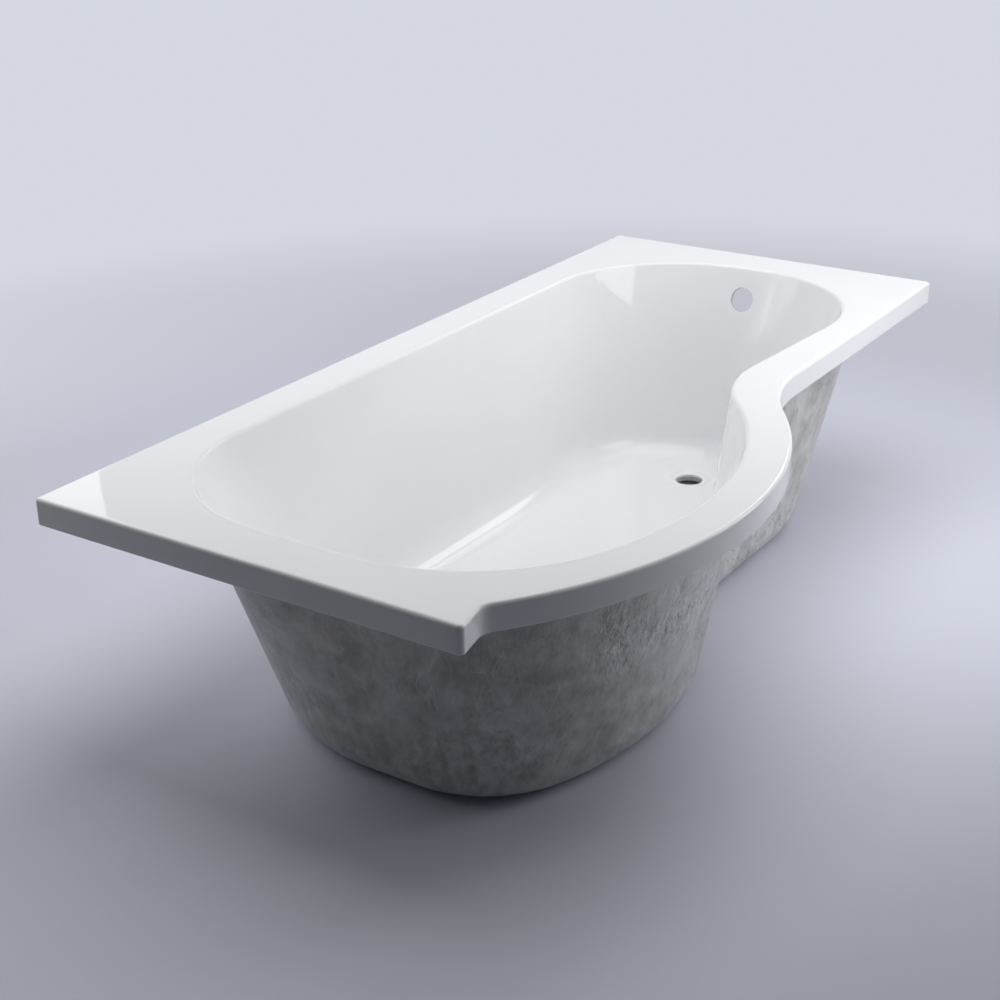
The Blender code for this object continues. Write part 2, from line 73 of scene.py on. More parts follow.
# Plan of the rim
BOW_STAND_OUT = 0.185
RETURN_STAND_OUT = 0.040
BOW_RADIUS = 0.670
BOW_CENTRE_FROM_END = 0.496
WAIST_RADIUS = 0.300
NOTCH_RADIUS = 0.030
RETURN_ANGLE = 11.7
RIM_CORNER_RADIUS = 0.008
LEAST_CORNER_RADIUS = 0.001

# Deck round the bowl, and the plan rounds of the bowl's mouth
WALL_DECK = 0.080
NEAR_DECK = 0.092
TAP_DECK = 0.100
BOW_DECK = 0.070
WAIST_DECK = 0.083
MOUTH_FLARE = 4.5
NEAR_WALL_CORNER_SHARE = 0.3467
NEAR_FRONT_CORNER_SHARE = 0.4000
TAP_WALL_CORNER_SHARE = 0.4891
TAP_FRONT_CORNER_SHARE = 0.4529
BODY_TAP_FRONT_CORNER_SHARE = 0.3351
MOUTH_WAIST_RADIUS = 0.250

# Slope of each side of the bowl down to its floor, and the plan rounds there
WALL_SLOPE = 0.049
NEAR_SLOPE = 0.083
TAP_SLOPE = 0.115
BOW_SLOPE = 0.071
WAIST_SLOPE = 0.013
NEAR_WALL_FLOOR_SHARE = 0.5317
NEAR_FRONT_FLOOR_SHARE = 0.3016
TAP_WALL_FLOOR_SHARE = 0.4592
TAP_FRONT_FLOOR_SHARE = 0.5306
FLOOR_WAIST_RADIUS = 0.300

# Section of the bowl
FLOOR_FALL = 0.006
BODY_ROUND = 0.046
HOLES_SHARE = 0.5072
WASTE_FROM_TAP_END = 0.330
WASTE_RADIUS = 0.027
DISH_RADIUS = 0.046
DISH_FLOOR_RADIUS = 0.034
DISH_DEPTH = 0.003
OVERFLOW_RADIUS = 0.025
OVERFLOW_DROP = 0.062

# Small rounds at the foot of the lip and at the edge of the waste hole
FOOT_ROUND = 0.0015
HOLE_EDGE = 0.0012

# Waves of the hand-laid body: height, size, and where they start and end above the floor
WAVE_HEIGHT = 0.0022
WAVE_SIZE = 0.085
WAVE_FOOT = 0.004
WAVE_FOOT_FADE = 0.05
WAVE_TOP = 0.365
WAVE_TOP_FADE = 0.04

# Layers of the tub wall
ACRYLIC = 0.005
BOND_GAP = 0.0003
INNER_COAT = 0.002
OUTER_COAT = 0.003
BASE_COAT = 0.0041
BOARD = 0.012
BOARD_MARGIN = 0.004
BOARD_HOLE_RADIUS = 0.052
RECESS_RADIUS = 0.046
RECESS_DEPTH = 0.009

# Steps round the outline
CORNER_STEPS = 26
RIM_CORNER_STEPS = 10
BOW_STEPS = 72
WAIST_STEPS = 52
WALL_STEPS = 44
NEAR_STEPS = 14
FRONT_STEPS = 16
TAP_STEPS = 6

# Steps down the section
EDGE_STEPS = 8
SLOPE_STEPS = 18
ROUND_STEPS = 16
LIP_STEPS = 8
FOOT_STEPS = 3
DISH_STEPS = 8
HOLE_EDGE_STEPS = 4
DISH_COUNT = 96
OVERFLOW_STEPS = 96

# Distance of the ring that keeps a flat area flat beside a round
SUPPORT = 0.003

# Crowding of the steps towards both ends of the slope
SLOPE_EASE = 0.125

# Least angle, in degrees, at which an edge is shaded sharp
SHARP_ANGLE = 40

# Length of the drill that cuts the overflow hole
DRILL_LENGTH = 0.08

# Levels of noise that a pattern is spread over
MAIN_LEVELS = (0.3, 0.7)
CLOUD_LEVELS = (0.37, 0.63)
ROUGH_PATCH_LEVELS = (0.47, 0.62)
LUMP_LEVELS = (0.52, 0.68)
SHADED_PIT_LEVELS = (0.32, 0.44)
PATCH_EDGE = 0.12

# Acrylic
ACRYLIC_TONES = ((0.885, 0.890, 0.908), (0.900, 0.905, 0.922))
ACRYLIC_ROUGHNESS = (0.02, 0.05)
ACRYLIC_IOR = 1.49

# Laminate, and how far its fibres lean from upright, in radians
LAMINATE_TONES = ((0.34, 0.34, 0.33), (0.66, 0.66, 0.65))
WISP_TONE = (0.72, 0.72, 0.71)
FIBRE_TONE = (0.82, 0.82, 0.81)
BRUSHED_TONE = (0.80, 0.80, 0.79)
# Darker tone painted into the pits of the laminate: painted shade in the recesses
PIT_SHADE_TONE = (0.30, 0.30, 0.29)
LAMINATE_ROUGHNESS = (0.34, 0.60)
FIBRE_LEAN = -0.33
FIBRE_LEAN_AXIS = (0.6, 0.8, 0)

# Timber and board
TIMBER_TONES = ((0.62, 0.44, 0.26), (0.72, 0.55, 0.35))
GRAIN_TONE = (0.40, 0.24, 0.12)
GRAIN_ALONG = (5.0, 70.0, 70.0)
GRAIN_ACROSS = (70.0, 5.0, 70.0)
TIMBER_ROUGHNESS = (0.6, 0.8)
CHIP_TONES = ((0.46, 0.32, 0.18), (0.68, 0.52, 0.33))
CHIP_SHADE = (0.36, 0.25, 0.15)
BOARD_ROUGHNESS = (0.65, 0.85)

# Studio paper, and how far from its middle it starts and ends to fade into the backdrop
PAPER_SIZE = 120
PAPER_GAP = 0.0005
PAPER_ROUGHNESS = 0.9
FADE_CENTRE = (0.1, 0, 0)
FADE_START = 1.15
FADE_END = 2.75

# Lamps: name, place, target, width, height, power in watts, and whether gloss mirrors it
LAMPS = (
    ("roof_box", (0.25, 0, 2.6), (0.1, 0, 0), 2.2, 2.2, 31.5, True),
    ("back_box", (2.2, 0.05, 2.15), (-0.1, -0.2, 0.3), 0.9, 1.6, 12, True),
    ("back_fill", (2.2, 0.05, 2.15), (-0.1, -0.2, 0.3), 1.6, 1.6, 9, False),
    ("left_box", (-0.62, 1.2, 1.25), (-0.62, 0, 1.15), 1.2, 1.2, 5.5, True),
    ("left_far_box", (-0.4, 2.3, 1.1), (-0.2, 0, 0.2), 2.0, 1.6, 13, False),
    ("left_back_box", (0.9, 1.9, 1.3), (0.3, 0, 0.3), 1.5, 1.5, 7, False),
    ("left_low_box", (-1.25, 1.25, 0.7), (0.7, 0, 0.3), 0.4, 0.6, 0.6, True),
    ("right_box", (0.5, -0.95, 1.1), (0.5, 0, 1.0), 0.8, 1.4, 9, True),
    ("right_low_box", (0.9, -1.7, 0.9), (0.3, 0, 0.3), 1.2, 0.6, 4.5, False),
)

# Camera: focal length in pixels of the frame, place, and yaw, pitch and roll in degrees
FRAME_PIXELS = 1000
FOCAL_PIXELS = 1706
SENSOR_WIDTH = 36
CAMERA_PLACE = (-2.356, -1.375, 1.389)
CAMERA_TURN = (33.87, 23.68, -0.96)

# Places that follow from the sizes above
NEAR_X = -LENGTH / 2
TAP_X = LENGTH / 2
WALL_Y = WIDTH / 2
NARROW_Y = BOW_STAND_OUT - WIDTH / 2
BOW_CENTRE = Vector((NEAR_X + BOW_CENTRE_FROM_END, BOW_RADIUS - WIDTH / 2))
RETURN_CORNER = Vector((NEAR_X, NARROW_Y - RETURN_STAND_OUT))
SHELL_BACK = ACRYLIC
COAT_FACE = SHELL_BACK + BOND_GAP
COAT_BACK = COAT_FACE + INNER_COAT
BODY_FACE = COAT_BACK + BOND_GAP
BODY_BACK = BODY_FACE + OUTER_COAT
BOARD_UNDERSIDE = BASE_COAT + BOND_GAP
BOARD_TOP = BOARD_UNDERSIDE + BOARD + BOND_GAP
BOWL_DEPTH = HEIGHT - BOARD_TOP - BODY_FACE
TAP_WALL_SLOPE = math.atan2(TAP_SLOPE, BOWL_DEPTH)
NEAR_MOUTH_WIDTH = WIDTH - WALL_DECK - BOW_DECK
TAP_MOUTH_WIDTH = WALL_Y - NARROW_Y - WALL_DECK - WAIST_DECK
NEAR_FLOOR_WIDTH = NEAR_MOUTH_WIDTH - WALL_SLOPE - BOW_SLOPE
TAP_FLOOR_WIDTH = TAP_MOUTH_WIDTH - WALL_SLOPE - WAIST_SLOPE
TAP_FRONT_CORNER = TAP_MOUTH_WIDTH * TAP_FRONT_CORNER_SHARE
BODY_TAP_FRONT_CORNER = TAP_MOUTH_WIDTH * BODY_TAP_FRONT_CORNER_SHARE
HOLES_Y = WALL_Y - WALL_DECK - TAP_MOUTH_WIDTH * HOLES_SHARE
WASTE_CENTRE = Vector((TAP_X - WASTE_FROM_TAP_END, HOLES_Y))
FLOOR_Z = HEIGHT - BOWL_DEPTH


# Outlines

def direction(degrees):
    """Unit vector at an angle from the +X axis."""
    angle = math.radians(degrees)
    return Vector((math.cos(angle), math.sin(angle)))


def bearing(vector):
    """Angle of a vector from the +X axis, in degrees from 0 to 360."""
    return math.degrees(math.atan2(vector.y, vector.x)) % 360


def arc(centre, radius, start, end, steps):
    """Points along an arc between two bearings, both ends included."""
    return [centre + direction(start + (end - start) * step / steps) * radius
            for step in range(steps + 1)]


def hollow_centre(start, heading, radius, bow, far):
    """Centre of the hollow round that joins a straight edge to the bow."""
    along = direction(heading)
    foot = start - direction(heading + 90) * radius - BOW_CENTRE
    half = foot.dot(along)
    reach = math.sqrt(half ** 2 - foot.length_squared + (bow + radius) ** 2)
    travel = reach - half if far else -reach - half
    return BOW_CENTRE + foot + along * travel


NOTCH_CENTRE = hollow_centre(RETURN_CORNER, RETURN_ANGLE, NOTCH_RADIUS, BOW_RADIUS, False)
WAIST_CENTRE = hollow_centre(Vector((0, NARROW_Y)), 0, WAIST_RADIUS, BOW_RADIUS, True)


def join_bends(bends):
    """One ring from the bends of an outline, with points set along the straights between them."""
    steps_after = (WALL_STEPS, NEAR_STEPS, 0, 0, FRONT_STEPS, TAP_STEPS)
    ring = []
    for index, bend in enumerate(bends):
        ring += bend
        after = bends[(index + 1) % len(bends)][0]
        for step in range(1, steps_after[index]):
            share = step / steps_after[index]
            ring.append(tuple(a.lerp(b, share) for a, b in zip(bend[-1], after)))
    return ring


def rim_outline(inset):
    """Points round the edge of the rim, moved inwards by the inset."""
    corner = max(RIM_CORNER_RADIUS - inset, LEAST_CORNER_RADIUS)
    near = NEAR_X + inset + corner
    tap = TAP_X - inset - corner
    wall = WALL_Y - inset - corner
    front = NARROW_Y + inset + corner
    slope = math.radians(RETURN_ANGLE)
    lean = math.sin(slope) * (near - RETURN_CORNER.x)
    return_y = RETURN_CORNER.y + (inset + corner + lean) / math.cos(slope)
    bow_start = bearing(NOTCH_CENTRE - BOW_CENTRE)
    bow_end = bearing(WAIST_CENTRE - BOW_CENTRE)
    notch_steps = CORNER_STEPS - RIM_CORNER_STEPS - 1
    bends = [
        arc(Vector((tap, wall)), corner, 0, 90, CORNER_STEPS),
        arc(Vector((near, wall)), corner, 90, 180, CORNER_STEPS),
        arc(Vector((near, return_y)), corner, 180, 270 + RETURN_ANGLE, RIM_CORNER_STEPS)
        + arc(NOTCH_CENTRE, NOTCH_RADIUS + inset, 90 + RETURN_ANGLE, bow_start - 180, notch_steps),
        arc(BOW_CENTRE, BOW_RADIUS - inset, bow_start, bow_end, BOW_STEPS)[1:],
        arc(WAIST_CENTRE, WAIST_RADIUS + inset, bow_end - 180, 90, WAIST_STEPS)[1:],
        arc(Vector((tap, front)), corner, 270, 360, CORNER_STEPS),
    ]
    return [point[0] for point in join_bends([[(point,) for point in bend] for bend in bends])]


def bend_inwards(hollow, centre, *bend):
    """Points of a bend of the bowl, each with the way square into the bowl."""
    sign = -1 if hollow else 1
    return [(point, (centre - point).normalized() * sign) for point in arc(centre, *bend)]


def bowl_outline(sides, rounds, flare):
    """Points round the bowl at one level, each with the way into the bowl."""
    near, tap, wall, front, bow = sides
    near_wall, near_front, tap_wall, tap_front, hollow = rounds
    along = near + near_front - BOW_CENTRE.x
    drop = math.sqrt((bow - near_front) ** 2 - along ** 2)
    near_front_centre = BOW_CENTRE + Vector((along, -drop))
    narrow = Vector((WAIST_CENTRE.x, front))
    waist = hollow_centre(narrow, -flare, hollow, bow, True)
    lean = math.radians(flare)
    tap_x = tap - tap_front
    tap_y = front + (tap_front - math.sin(lean) * (tap_x - narrow.x)) / math.cos(lean)
    bow_start = bearing(near_front_centre - BOW_CENTRE)
    bow_end = bearing(waist - BOW_CENTRE)
    tap_corner = Vector((tap - tap_wall, wall - tap_wall))
    near_corner = Vector((near + near_wall, wall - near_wall))
    bends = [
        bend_inwards(False, tap_corner, tap_wall, 0, 90, CORNER_STEPS),
        bend_inwards(False, near_corner, near_wall, 90, 180, CORNER_STEPS),
        bend_inwards(False, near_front_centre, near_front, 180, bow_start, CORNER_STEPS),
        bend_inwards(False, BOW_CENTRE, bow, bow_start, bow_end, BOW_STEPS)[1:],
        bend_inwards(True, waist, hollow, bow_end - 180, 90 - flare, WAIST_STEPS)[1:],
        bend_inwards(False, Vector((tap_x, tap_y)), tap_front, 270 - flare, 360, CORNER_STEPS),
    ]
    return join_bends(bends)


def mouth_outline(tap_front):
    """Outline of the bowl where its walls and the deck would meet sharp."""
    sides = (NEAR_X + NEAR_DECK, TAP_X - TAP_DECK, WALL_Y - WALL_DECK,
             NARROW_Y + WAIST_DECK, BOW_RADIUS - BOW_DECK)
    rounds = (NEAR_MOUTH_WIDTH * NEAR_WALL_CORNER_SHARE, NEAR_MOUTH_WIDTH * NEAR_FRONT_CORNER_SHARE,
              TAP_MOUTH_WIDTH * TAP_WALL_CORNER_SHARE, tap_front, MOUTH_WAIST_RADIUS)
    return bowl_outline(sides, rounds, MOUTH_FLARE)


def floor_outline():
    """Outline of the bowl where its walls and the floor would meet sharp."""
    sides = (NEAR_X + NEAR_DECK + NEAR_SLOPE, TAP_X - TAP_DECK - TAP_SLOPE,
             WALL_Y - WALL_DECK - WALL_SLOPE, NARROW_Y + WAIST_DECK + WAIST_SLOPE,
             BOW_RADIUS - BOW_DECK - BOW_SLOPE)
    rounds = (NEAR_FLOOR_WIDTH * NEAR_WALL_FLOOR_SHARE, NEAR_FLOOR_WIDTH * NEAR_FRONT_FLOOR_SHARE,
              TAP_FLOOR_WIDTH * TAP_WALL_FLOOR_SHARE, TAP_FLOOR_WIDTH * TAP_FRONT_FLOOR_SHARE,
              FLOOR_WAIST_RADIUS)
    return bowl_outline(sides, rounds, 0)


def bowl_stations(tap_front):
    """The course of the bowl's wall at each point: mouth, way in, drift along it, and slope."""
    stations = []
    pairs = zip(mouth_outline(tap_front), floor_outline())
    for (mouth, mouth_inward), (foot, foot_inward) in pairs:
        inward = (mouth_inward + foot_inward).normalized()
        run = (foot - mouth).dot(inward)
        drift = foot - mouth - inward * run
        stations.append((mouth, inward, drift, math.atan2(run, BOWL_DEPTH)))
    return stations


def section(slope, offset, edge_radius, round_radius, bottom):
    """Insets, heights and shares of the drift down the bowl, from the deck to the floor."""
    edge = max(edge_radius - offset, LEAST_CORNER_RADIUS)
    top = HEIGHT - offset
    corner = -offset * (1 - math.sin(slope)) / math.cos(slope)
    turn = math.pi / 2 - slope
    tangent = edge * math.tan(turn / 2)
    points = [(corner - tangent - SUPPORT, top)]
    for step in range(EDGE_STEPS + 1):
        angle = turn * step / EDGE_STEPS
        inset = corner - tangent + edge * math.sin(angle)
        points.append((inset, top - edge + edge * math.cos(angle)))
    rise = top - bottom - round_radius
    centre = corner + (round_radius + rise * math.sin(slope)) / math.cos(slope)
    curve = []
    for step in range(ROUND_STEPS + 1):
        angle = slope + turn * step / ROUND_STEPS
        inset = centre - round_radius * math.cos(angle)
        curve.append((inset, bottom + round_radius - round_radius * math.sin(angle)))
    curve.append((centre + SUPPORT, bottom))
    first, last = points[-1], curve[0]
    shares = [(HEIGHT - first[1]) / BOWL_DEPTH, (HEIGHT - last[1]) / BOWL_DEPTH]
    column = [(*point, shares[0]) for point in points]
    for step in range(1, SLOPE_STEPS):
        part = (step - math.sin(2 * math.pi * step / SLOPE_STEPS) * SLOPE_EASE) / SLOPE_STEPS
        ends = zip((*first, shares[0]), (*last, shares[1]))
        column.append(tuple(a + (b - a) * part for a, b in ends))
    return column + [(*point, shares[1]) for point in curve]


def bowl_rings(offset, edge_radius, round_radius, bottom, sloping, tap_front=TAP_FRONT_CORNER):
    """Rings of points down the bowl, from the edge of the deck to the edge of the floor."""
    top = HEIGHT - offset
    columns = []
    for mouth, inward, drift, slope in bowl_stations(tap_front):
        column = []
        for inset, height, share in section(slope, offset, edge_radius, round_radius, bottom):
            place = mouth + inward * inset + drift * share
            lift = FLOOR_FALL * (TAP_X - place.x) / LENGTH * (top - height) / (top - bottom)
            column.append(Vector((place.x, place.y, height + (lift if sloping else 0))))
        columns.append(column)
    return [list(ring) for ring in zip(*columns)]


def rim_ring(inset, height):
    """Ring of points round the rim at one height."""
    return [Vector((point.x, point.y, height)) for point in rim_outline(inset)]


def waste_ring(radius, height, sloping):
    """Circle of points round the waste."""
    ring = []
    for step in range(DISH_COUNT):
        place = WASTE_CENTRE + direction(360 * step / DISH_COUNT) * radius
        lift = FLOOR_FALL * (TAP_X - place.x) / LENGTH if sloping else 0
        ring.append(Vector((place.x, place.y, height + lift)))
    return ring


def quarter(steps):
    """Shares of a quarter round: how far along and how far up, step by step."""
    return [(1 - math.cos(math.pi / 2 * step / steps), math.sin(math.pi / 2 * step / steps))
            for step in range(steps + 1)]


# Modelling with Blender's own tools

def deselect_all():
    """Go back to object mode and select nothing."""
    if bpy.context.object and bpy.context.object.mode != "OBJECT":
        bpy.ops.object.mode_set(mode="OBJECT")
    bpy.ops.object.select_all(action="DESELECT")


def choose(obj):
    """Select one object alone and make it the active one."""
    deselect_all()
    obj.select_set(True)
    bpy.context.view_layer.objects.active = obj


def name_piece(name):
    """Name the active object and its mesh."""
    obj = bpy.context.active_object
    obj.name = name
    obj.data.name = name
    return obj


def pull_rings(name, tub, core):
    """Extrude one circle through the rings of the tub and one through its core, and join them."""
    deselect_all()
    bpy.ops.mesh.primitive_circle_add(vertices=len(tub[0]), radius=1)
    obj = name_piece(name)
    bpy.ops.object.mode_set(mode="EDIT")
    mesh = bmesh.from_edit_mesh(obj.data)
    mesh.verts.layers.int.new("order")
    mesh.verts.layers.int.new("ring")
    number = 0
    for rings in (tub, core):
        if number:
            bpy.ops.mesh.select_all(action="DESELECT")
            bpy.ops.mesh.primitive_circle_add(vertices=len(rings[0]), radius=1)
        place_ring(obj, rings[0], number, True)
        for ring in rings[1:]:
            number += 1
            bpy.ops.mesh.extrude_edges_move()
            place_ring(obj, ring, number, False)
        number += 1
    fill_between(obj, (len(tub) - 1, len(tub)))
    fill_between(obj, (0, number - 1))
    bpy.ops.mesh.select_all(action="SELECT")
    bpy.ops.mesh.normals_make_consistent(inside=False)
    bpy.ops.object.mode_set(mode="OBJECT")
    return obj


def place_ring(obj, ring, number, fresh):
    """Move the selected circle onto the points of a ring, and note which ring it is."""
    mesh = bmesh.from_edit_mesh(obj.data)
    order = mesh.verts.layers.int["order"]
    mark = mesh.verts.layers.int["ring"]
    chosen = [vertex for vertex in mesh.verts if vertex.select]
    for index, vertex in enumerate(chosen):
        if fresh:
            vertex[order] = index
        vertex[mark] = number
        vertex.co = ring[vertex[order]]
    bmesh.update_edit_mesh(obj.data)


def fill_between(obj, pair):
    """Close the flat area between two rings, or bridge them where they have as many points."""
    bpy.ops.mesh.select_mode(type="EDGE")
    bpy.ops.mesh.select_all(action="DESELECT")
    mesh = bmesh.from_edit_mesh(obj.data)
    mark = mesh.verts.layers.int["ring"]
    counts = [0, 0]
    for edge in mesh.edges:
        numbers = {vertex[mark] for vertex in edge.verts}
        if len(numbers) == 1 and numbers <= set(pair) and edge.is_boundary:
            edge.select = True
            counts[pair.index(numbers.pop())] += 1
    bmesh.update_edit_mesh(obj.data)
    if counts[0] == counts[1]:
        bpy.ops.mesh.bridge_edge_loops()
    else:
        bpy.ops.mesh.fill(use_beauty=True)
    bpy.ops.mesh.select_mode(type="VERT")


def apply_modifier(obj, kind, **settings):
    """Add a modifier, set it and apply it."""
    choose(obj)
    modifier = obj.modifiers.new(kind.lower(), kind)
    for key, value in settings.items():
        setattr(modifier, key, value)
    bpy.ops.object.modifier_apply(modifier=modifier.name)


def cut_overflow(obj):
    """Drill the overflow hole square through the tap-end wall of one layer."""
    deselect_all()
    wall_x = TAP_X - TAP_DECK - math.tan(TAP_WALL_SLOPE) * OVERFLOW_DROP
    bpy.ops.mesh.primitive_cylinder_add(
        vertices=OVERFLOW_STEPS, radius=OVERFLOW_RADIUS, depth=DRILL_LENGTH,
        location=(wall_x, HOLES_Y, HEIGHT - OVERFLOW_DROP),
        rotation=(0, math.pi / 2 + TAP_WALL_SLOPE, 0))
    drill = bpy.context.active_object
    apply_modifier(obj, "BOOLEAN", operation="DIFFERENCE", solver="EXACT", object=drill)
    bpy.data.objects.remove(drill)


def hand_over(obj, nodes, finish):
    """Drill and smooth a layer, and give it its place in the frame and its material."""
    cut_overflow(obj)
    choose(obj)
    bpy.ops.object.shade_smooth_by_angle(angle=math.radians(SHARP_ANGLE))
    obj.data.materials.clear()
    obj.data.materials.append(finish)
    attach(obj, "root")
    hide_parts(*nodes)


# Nodes

def set_inputs(tree, node, inputs):
    """Set the inputs of a node, and link those whose value comes from another node."""
    for key, value in inputs.items():
        if isinstance(value, bpy.types.NodeSocket):
            tree.links.new(value, node.inputs[key])
        else:
            node.inputs[key].default_value = value


def add_node(tree, kind, inputs=None, **settings):
    """Add a node with its properties and its inputs."""
    node = tree.nodes.new(kind)
    for key, value in settings.items():
        setattr(node, key, value)
    set_inputs(tree, node, inputs or {})
    return node


def calculate(tree, operation, *values):
    """Result of a Math node on one value or two."""
    inputs = dict(enumerate(values))
    return add_node(tree, "ShaderNodeMath", inputs, operation=operation).outputs[0]


def calculate_vector(tree, operation, *vectors):
    """Result of a Vector Math node on two vectors."""
    inputs = dict(enumerate(vectors))
    return add_node(tree, "ShaderNodeVectorMath", inputs, operation=operation).outputs[0]


def remap(tree, value, source, target=(0.0, 1.0)):
    """Spread a range of levels onto another range."""
    inputs = dict(enumerate((value, *source, *target)))
    return add_node(tree, "ShaderNodeMapRange", inputs).outputs[0]


def noise(tree, place, scale, detail, **more):
    """Outputs of a noise pattern, with any more of its inputs by name."""
    inputs = {"Vector": place, "Scale": scale, "Detail": detail, **more}
    return add_node(tree, "ShaderNodeTexNoise", inputs).outputs


def blend(tree, share, low, high):
    """Blend of two colours by a share; the first may come from another node."""
    if not isinstance(low, bpy.types.NodeSocket):
        low = (*low, 1)
    inputs = {0: share, 6: low, 7: (*high, 1)}
    return add_node(tree, "ShaderNodeMix", inputs, data_type="RGBA").outputs[2]


def paint(tree, base, mask, amount, colour):
    """Lay a colour over the base where a mask shows it."""
    return blend(tree, calculate(tree, "MULTIPLY", mask, amount), base, colour)


def bumps(tree, *layers):
    """Bump nodes one on another; each layer is a height, its depth in metres and its strength."""
    normal = None
    for height, depth, strength in layers:
        inputs = {"Height": height, "Distance": depth, "Strength": strength}
        if normal:
            inputs["Normal"] = normal
        normal = add_node(tree, "ShaderNodeBump", inputs).outputs[0]
    return normal


def seen_directly(tree):
    """One for the rays that look at a thing or at its mirror image, and nought for the rest."""
    path = add_node(tree, "ShaderNodeLightPath").outputs
    either = calculate(tree, "MAXIMUM", path["Is Camera Ray"], path["Is Glossy Ray"])
    return calculate(tree, "MAXIMUM", either, path["Is Transmission Ray"])


def new_material(name):
    """A material with a bare Principled shader, and the place that its patterns read."""
    made = bpy.data.materials.new(name)
    made.use_nodes = True
    tree = made.node_tree
    tree.nodes.clear()
    shader = add_node(tree, "ShaderNodeBsdfPrincipled")
    add_node(tree, "ShaderNodeOutputMaterial", {0: shader.outputs[0]})
    place = add_node(tree, "ShaderNodeTexCoord").outputs["Object"]
    return made, tree, shader, place


# Effects that the finishes share

def new_effect(name, inputs, outputs):
    """An empty node group with named inputs and outputs."""
    tree = bpy.data.node_groups.new(name, "ShaderNodeTree")
    for key, kind, value in inputs:
        socket = tree.interface.new_socket(key, in_out="INPUT", socket_type=kind)
        socket.default_value = value
    for key in outputs:
        tree.interface.new_socket(key, in_out="OUTPUT", socket_type="NodeSocketFloat")
    return tree, add_node(tree, "NodeGroupInput").outputs, add_node(tree, "NodeGroupOutput")


def place_effect(tree, name, place, inputs):
    """Put a shared effect into a material and give it its values."""
    group = bpy.data.node_groups[name]
    inputs = {"Position": place, **inputs}
    return add_node(tree, "ShaderNodeGroup", inputs, node_tree=group).outputs


def mottling_effect():
    """Broad clouds with finer mottles in them."""
    tree, given, result = new_effect(
        "mottling",
        [("Position", "NodeSocketVector", (0, 0, 0)), ("Cloud Scale", "NodeSocketFloat", 5.0),
         ("Mottle Scale", "NodeSocketFloat", 25.0), ("Mottle Share", "NodeSocketFloat", 0.35)],
        ["Tone", "Relief"])
    place = given["Position"]
    cloud = noise(tree, place, given["Cloud Scale"], 4.0, Roughness=0.55, Distortion=0.6)["Fac"]
    mottle = noise(tree, place, given["Mottle Scale"], 5.0, Roughness=0.6, Distortion=0.4)["Fac"]
    both = add_node(tree, "ShaderNodeMix", {0: given["Mottle Share"], 2: cloud, 3: mottle})
    set_inputs(tree, result, {"Tone": remap(tree, both.outputs[0], CLOUD_LEVELS), "Relief": mottle})


def strands_effect():
    """Long thin strands that wander, gathered in patches."""
    tree, given, result = new_effect(
        "strands",
        [("Position", "NodeSocketVector", (0, 0, 0)), ("Stretch", "NodeSocketVector", (40, 40, 5)),
         ("Wander", "NodeSocketFloat", 0.25), ("Thickness", "NodeSocketFloat", 0.05),
         ("Ragged", "NodeSocketFloat", 3.0), ("Patch Scale", "NodeSocketFloat", 4.0),
         ("Patch Start", "NodeSocketFloat", 0.5)],
        ["Strand", "Fibre"])
    place = given["Position"]
    drift = noise(tree, place, 2.6, 1.0)["Color"]
    drift = calculate_vector(tree, "SUBTRACT", drift, (0.5, 0.5, 0.5))
    drift = add_node(tree, "ShaderNodeVectorMath", {0: drift, "Scale": given["Wander"]},
                     operation="SCALE").outputs[0]
    moved = calculate_vector(tree, "ADD", place, drift)
    drawn = calculate_vector(tree, "MULTIPLY", moved, given["Stretch"])
    grain = noise(tree, drawn, 1.0, given["Ragged"], Roughness=0.55)["Fac"]
    away = calculate(tree, "ABSOLUTE", calculate(tree, "SUBTRACT", grain, 0.5))
    line = remap(tree, away, (0.0, given["Thickness"]), (1.0, 0.0))
    patch = noise(tree, place, given["Patch Scale"], 2.0)["Fac"]
    start = given["Patch Start"]
    shown = remap(tree, patch, (start, calculate(tree, "ADD", start, PATCH_EDGE)))
    strand = calculate(tree, "MULTIPLY", line, shown)
    set_inputs(tree, result, {"Strand": strand, "Fibre": grain})


# Finishes

def studio_paper(colour, distance_colour):
    """Matt paper that takes the shadow, and fades into the backdrop further off."""
    made, tree, shader, place = new_material("studio_paper")
    set_inputs(tree, shader, {"Base Color": (*colour, 1), "Roughness": PAPER_ROUGHNESS})
    reach = add_node(tree, "ShaderNodeVectorMath", {0: place, 1: FADE_CENTRE}, operation="DISTANCE")
    fade = add_node(tree, "ShaderNodeMapRange",
                    {0: reach.outputs["Value"], 1: FADE_START, 2: FADE_END},
                    interpolation_type="SMOOTHSTEP")
    glow = add_node(tree, "ShaderNodeEmission", {0: (*distance_colour, 1), 1: seen_directly(tree)})
    both = add_node(tree, "ShaderNodeMixShader",
                    {0: fade.outputs[0], 1: shader.outputs[0], 2: glow.outputs[0]})
    output = next(node for node in tree.nodes if node.type == "OUTPUT_MATERIAL")
    set_inputs(tree, output, {0: both.outputs[0]})
    return made


def white_acrylic():
    """Glossy white sheet: a faint ripple from forming, and hardly any change of tone."""
    made, tree, shader, place = new_material("white_acrylic")
    cast = place_effect(tree, "mottling", place, {
        "Cloud Scale": 2.2, "Mottle Scale": 150.0, "Mottle Share": 0.15})
    ripple = noise(tree, place, 5.0, 1.0)["Fac"]
    set_inputs(tree, shader, {
        "Base Color": blend(tree, cast["Tone"], *ACRYLIC_TONES),
        "Roughness": remap(tree, cast["Relief"], MAIN_LEVELS, ACRYLIC_ROUGHNESS),
        "Normal": bumps(tree, (ripple, 0.0016, 0.4), (cast["Relief"], 0.00002, 0.5)),
        "IOR": ACRYLIC_IOR})
    return made


